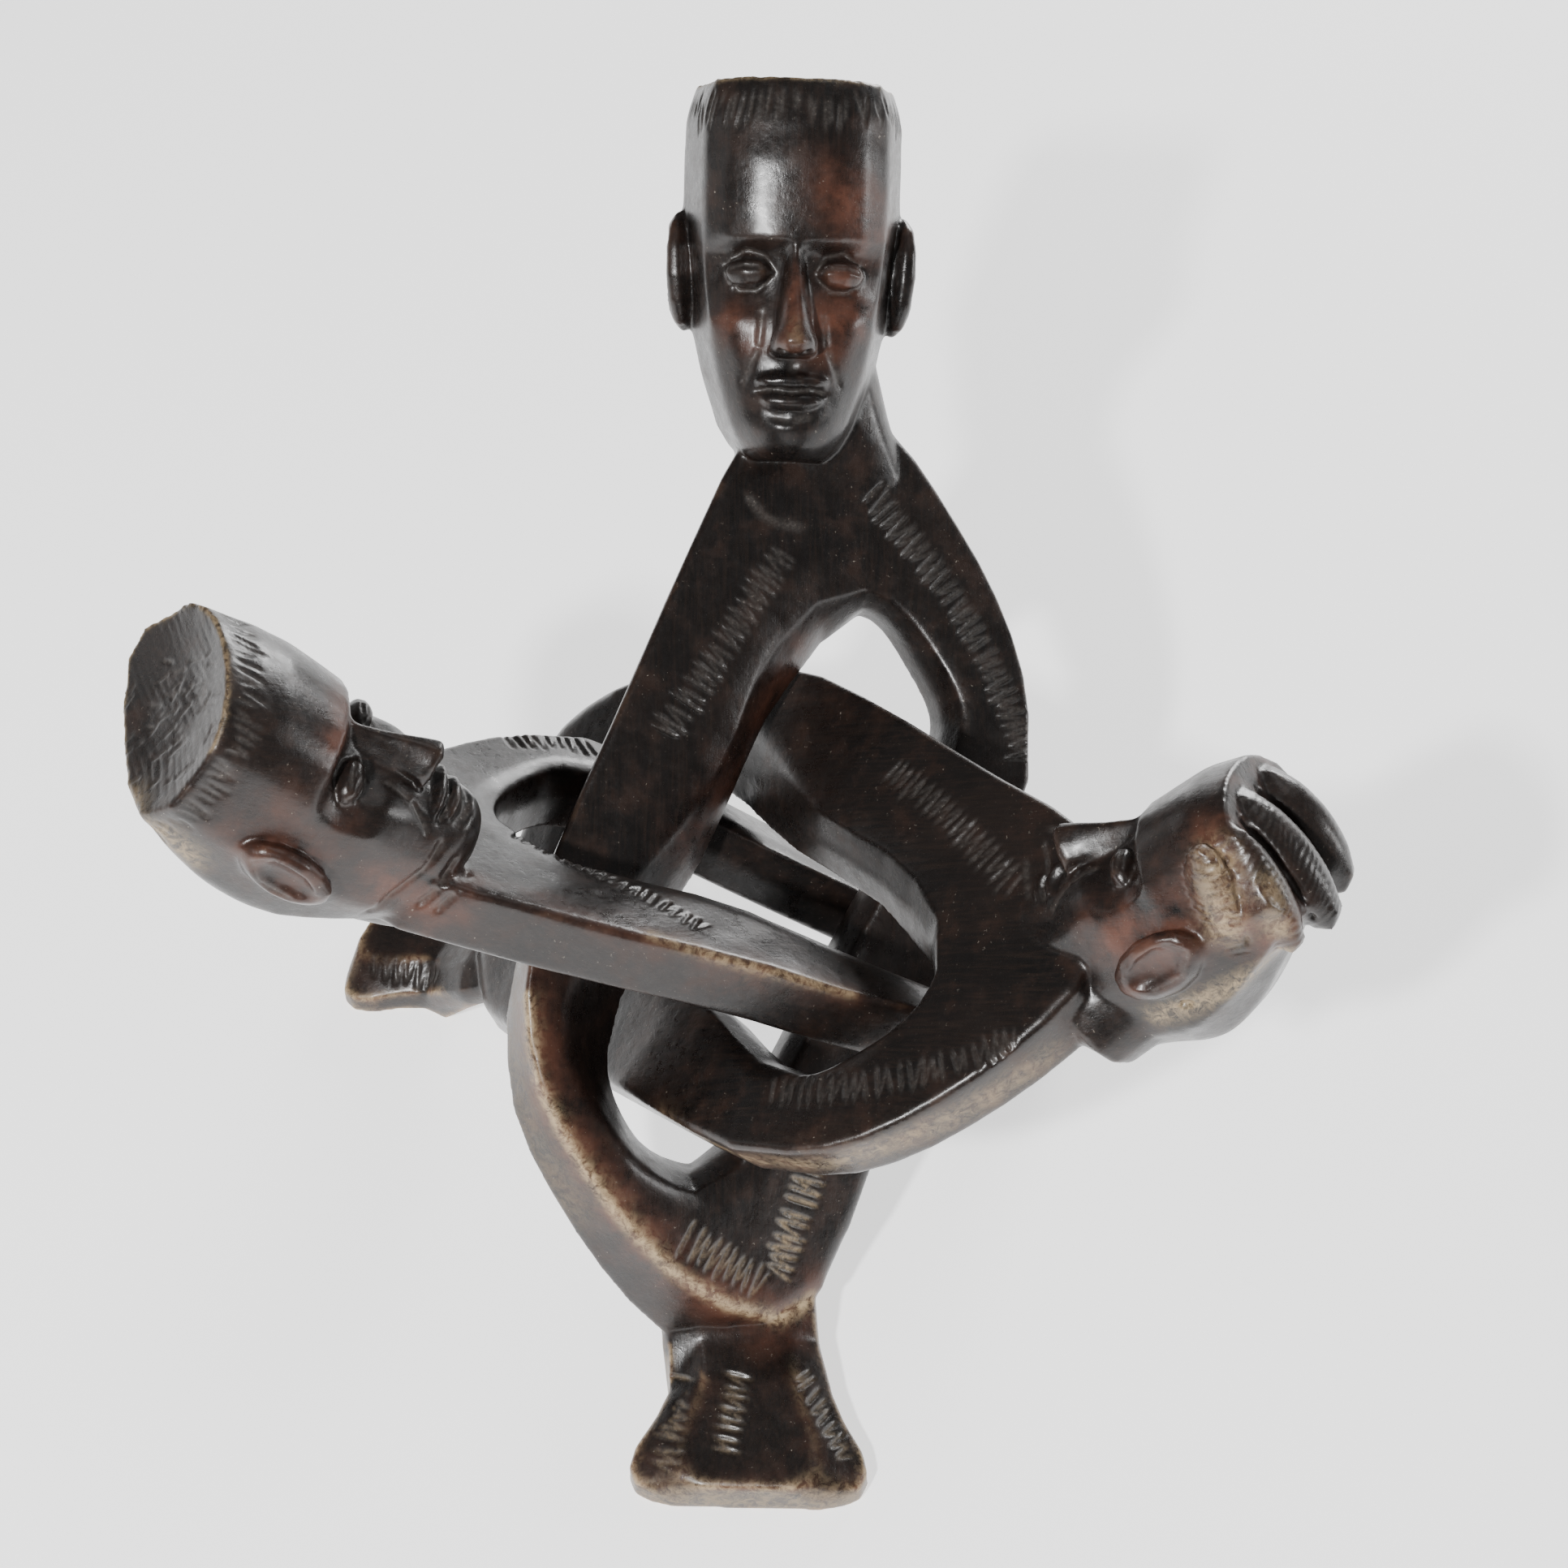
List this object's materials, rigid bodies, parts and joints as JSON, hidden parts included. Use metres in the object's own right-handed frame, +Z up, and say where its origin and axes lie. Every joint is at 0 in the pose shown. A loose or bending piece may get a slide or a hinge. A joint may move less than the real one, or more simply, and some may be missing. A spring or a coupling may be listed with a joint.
{
  "type": "interlocking carved wooden sculpture",
  "caption": "Carved hardwood tripod of interlocked stylised figures, each a head on a slotted body with a flared foot, threaded through one another.",
  "frame": {"origin": "centre of the ground rectangle under the whole object", "axes": "+Z up; -Y towards the foot of the far-head figure; +X towards the head of the right-head figure"},
  "size_m": [0.2998, 0.3254, 0.2507],
  "materials": {
    "far_wood": "satin",
    "right_wood": "satin",
    "left_wood": "satin"
  },
  "bodies": {
    "root": {"far_head_figure": "far_wood", "right_head_figure": "right_wood", "left_head_figure": "left_wood"}
  },
  "joints": []
}
